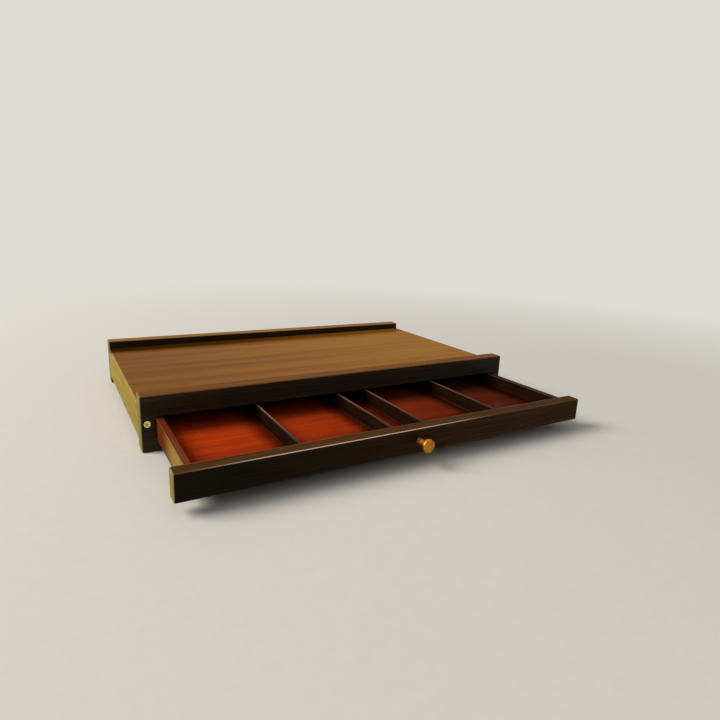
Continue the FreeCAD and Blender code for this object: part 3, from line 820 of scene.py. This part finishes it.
# %% Turn the knob
KNOB_STEPS_MM = (
    (0.0, 2.75), (0.5, 2.85), (0.8, 2.75), (1.0, 2.62), (2.0, 2.55), (5.0, 2.45), (8.2, 2.6),
    (8.9, 2.8), (9.6, 4.2), (10.3, 5.4), (10.8, 5.75), (12.0, 5.85), (13.5, 5.85), (14.0, 5.65),
    (14.3, 5.2), (14.38, 4.6), (14.3, 4.3), (14.34, 4.0), (14.48, 2.2), (14.5, 0.6),
)
KNOB_NECK_MM = 8.5
KNOB_TONES = ((192, 130, 46), (150, 92, 25))

knob_low, knob_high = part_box("knob")
knob_centre = ((knob_low.x + knob_high.x) / 2, knob_high.y, (knob_low.z + knob_high.z) / 2)
knob = turned_piece("turned_knob", knob_centre, KNOB_STEPS_MM, points=72, edge_mm=0.12)
knob_brass = turned_metal(
    "knob_brass", knob_centre, KNOB_TONES, roughness=0.27, neck_reach=KNOB_NECK_MM * MM,
)
knob.data.materials.append(knob_brass)
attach(knob, "drawer")
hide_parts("knob")

# %% [markdown]
# ## The catches
#
# Each catch is a short brass tube, pressed flush into the front board. Its face is rolled over, so
# that only a small hole shows in the middle, and a magnet lies behind it. The hole could be cut
# with a boolean. Turned like the knob, the tube gets it at once: its last steps go back into the
# hole. The right catch's brass is painted much darker than the left one's, a painted shade for the
# dim light there.

# %% Turn the catches and their magnets
CATCH_STEPS_MM = (
    (-4.9, 3.15), (-0.7, 3.18), (-0.3, 3.05), (-0.05, 2.7), (0.0, 2.2), (-0.08, 1.3),
    (-0.22, 0.75), (-0.45, 0.65), (-0.65, 1.2), (-3.7, 1.22),
)
MAGNET_STEPS_MM = ((-3.6, 1.12), (-0.9, 1.12), (-0.75, 1.0), (-0.72, 0.3))
CATCH_TONES = {
    "left": ((246, 252, 178), (234, 238, 146)),
    # Painted shade: the right catch's dark tones stand for the shade it lies in.
    "right": ((118, 104, 62), (96, 82, 46)),
}
MAGNET_TONES = ((128, 120, 84), (88, 80, 58))

magnet_metal = turned_metal("magnet_metal", (0, 0, 0), MAGNET_TONES, roughness=0.35)
face_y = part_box("front_board")[0].y
for side in ("left", "right"):
    low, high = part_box(f"{side}_catch")
    centre = ((low.x + high.x) / 2, face_y, (low.z + high.z) / 2)
    catch = turned_piece(f"turned_{side}_catch", centre, CATCH_STEPS_MM, points=56, edge_mm=0.08)
    brass_name = f"{side}_catch_brass"
    catch_brass = turned_metal(brass_name, centre, CATCH_TONES[side], roughness=0.3)
    catch.data.materials.append(catch_brass)
    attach(catch, "case")
    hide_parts(f"{side}_catch")
    magnet = turned_piece(f"{side}_catch_core", centre, MAGNET_STEPS_MM, points=40, edge_mm=0.08)
    magnet.data.materials.append(magnet_metal)
    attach(magnet, "case")
    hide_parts("catch_magnets")

# %% [markdown]
# ## Steel behind the drawer front
#
# The strike plates and the knob's screw are plain plated steel. Only the screw's head shows, in
# the middle bay. They could be turned again like the knob, but they are small and half hidden, so
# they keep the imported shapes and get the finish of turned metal.

# %% Finish the strike plates and the screw
STEEL_TONES = ((176, 170, 156), (140, 134, 120))

steel = turned_metal("plated_steel", knob_centre, STEEL_TONES, roughness=0.28)
for node in ("strike_plates", "knob_screw"):
    finish_node(node, steel)

# %% [markdown]
# ## Floor and background
#
# The floor is a wide pale disc, and the world behind it has the same pale tone. A curved backdrop
# could hide the horizon, but it would stand in the way of the camera on other sides. Here the
# floor's own colour fades into the tone of the world far from the box, so no horizon shows. Near
# the box the floor keeps its shadow.

# %% Rays that show the background
BACKGROUND_TONE = screen_colour(222, 219, 212)


def seen_rays(tree):
    """1 for what the camera sees directly, in gloss or through glass, and 0 for light."""
    rays = add_node(tree, "ShaderNodeLightPath").outputs
    seen = sum_of(tree, "MAXIMUM", rays["Is Camera Ray"], rays["Is Glossy Ray"])
    return sum_of(tree, "MAXIMUM", seen, rays["Is Transmission Ray"])


print("background tone in the shader:", [round(value, 3) for value in BACKGROUND_TONE[:3]])

# %% Lay the floor
FLOOR_RADIUS_METRES = 12
FLOOR_DROP_METRES = 0.0001
FLOOR_DARK = screen_colour(208, 205, 198)
FLOOR_LIGHT = screen_colour(214, 211, 204)
FLOOR_SPECKS_PER_METRE = 120.0
FLOOR_FADE_METRES = (0.3, 1.3)

bpy.ops.object.select_all(action="DESELECT")
bpy.ops.mesh.primitive_circle_add(
    vertices=96, radius=FLOOR_RADIUS_METRES, fill_type="NGON", location=(0, 0, -FLOOR_DROP_METRES),
)
floor = bpy.context.object
floor.name = "floor"
bpy.ops.object.transform_apply(location=True)
print("floor radius in metres:", FLOOR_RADIUS_METRES)

# %% Finish the floor
PAPER_ROUGHNESS = 0.9

floor_paper, tree, shader = new_material("floor_paper")
place = object_place(tree)
specks = noise_of(tree, place, detail=3.0, roughness=0.6, scale=FLOOR_SPECKS_PER_METRE)
tree.links.new(colour_mix(tree, specks, FLOOR_DARK, FLOOR_LIGHT), shader.inputs["Base Color"])
shader.inputs["Roughness"].default_value = PAPER_ROUGHNESS
shader.inputs["Specular IOR Level"].default_value = 0.0
plain = add_node(tree, "ShaderNodeEmission", {0: BACKGROUND_TONE, 1: 1.0}).outputs[0]
far = share_between(tree, length_of(tree, place), *FLOOR_FADE_METRES)
share = sum_of(tree, "MULTIPLY", far, seen_rays(tree))
surface = add_node(tree, "ShaderNodeMixShader", {0: share, 1: shader.outputs[0], 2: plain})
tree.links.new(surface.outputs[0], tree.nodes["Material Output"].inputs["Surface"])
floor.data.materials.append(floor_paper)
print("the floor fades between", *FLOOR_FADE_METRES, "metres")

# %% Set the background
ROOM_STRENGTH = 0.34

world = bpy.data.worlds.new("studio")
world.use_nodes = True
bpy.context.scene.world = world
tree = world.node_tree
tree.nodes.clear()
room = add_node(tree, "ShaderNodeBackground", {0: (1, 1, 1, 1), 1: ROOM_STRENGTH}).outputs[0]
shown = add_node(tree, "ShaderNodeBackground", {0: BACKGROUND_TONE, 1: 1.0}).outputs[0]
mixed = add_node(tree, "ShaderNodeMixShader", {0: seen_rays(tree), 1: room, 2: shown}).outputs[0]
add_node(tree, "ShaderNodeOutputWorld", {0: mixed})
print("the room lights the box with strength", ROOM_STRENGTH)

# %% [markdown]
# ## Lamps
#
# One large soft lamp stands far off at the upper left, a little behind the box. It lights the
# top and the left ends and leaves the front faces dark. A weak spot at the front left gives the
# brass knob its sparkle. A second soft lamp could do that too, but the glossy top would show it
# as a bright patch. The spot is so narrow that it reaches the knob alone.

# %% Hang the lamps
LEFT_LAMP_PLACE = (-3.75, 1.33, 3.17)
LEFT_LAMP_SIZE = 2.6
LEFT_LAMP_WATTS = 285
LEFT_LAMP_COLOUR = (1.0, 0.97, 0.92)
MIDDLE_OF_THE_BOX = (0, 0.05, 0.02)
KNOB_LAMP_PLACE = (-0.95, -0.86, 0.5)
KNOB_LAMP_WATTS = 8.0
KNOB_LAMP_COLOUR = (1.0, 0.98, 0.95)
KNOB_LAMP_DEGREES = 6
KNOB_LAMP_RADIUS = 0.07


def hang_lamp(settings, place, target):
    """Hangs a lamp at a place and turns it towards a target."""
    lamp = bpy.data.objects.new(settings.name, settings)
    lamp.location = place
    direction = Vector(target) - Vector(place)
    lamp.rotation_euler = direction.to_track_quat("-Z", "Y").to_euler()
    bpy.context.scene.collection.objects.link(lamp)
    print(settings.name, "watts:", settings.energy)


left_light = bpy.data.lights.new("left_lamp", "AREA")
left_light.size = LEFT_LAMP_SIZE
left_light.energy = LEFT_LAMP_WATTS
left_light.color = LEFT_LAMP_COLOUR
hang_lamp(left_light, LEFT_LAMP_PLACE, MIDDLE_OF_THE_BOX)

knob_light = bpy.data.lights.new("knob_lamp", "SPOT")
knob_light.energy = KNOB_LAMP_WATTS
knob_light.color = KNOB_LAMP_COLOUR
knob_light.spot_size = math.radians(KNOB_LAMP_DEGREES)
knob_light.spot_blend = 1.0
knob_light.shadow_soft_size = KNOB_LAMP_RADIUS
hang_lamp(knob_light, KNOB_LAMP_PLACE, knob_centre)
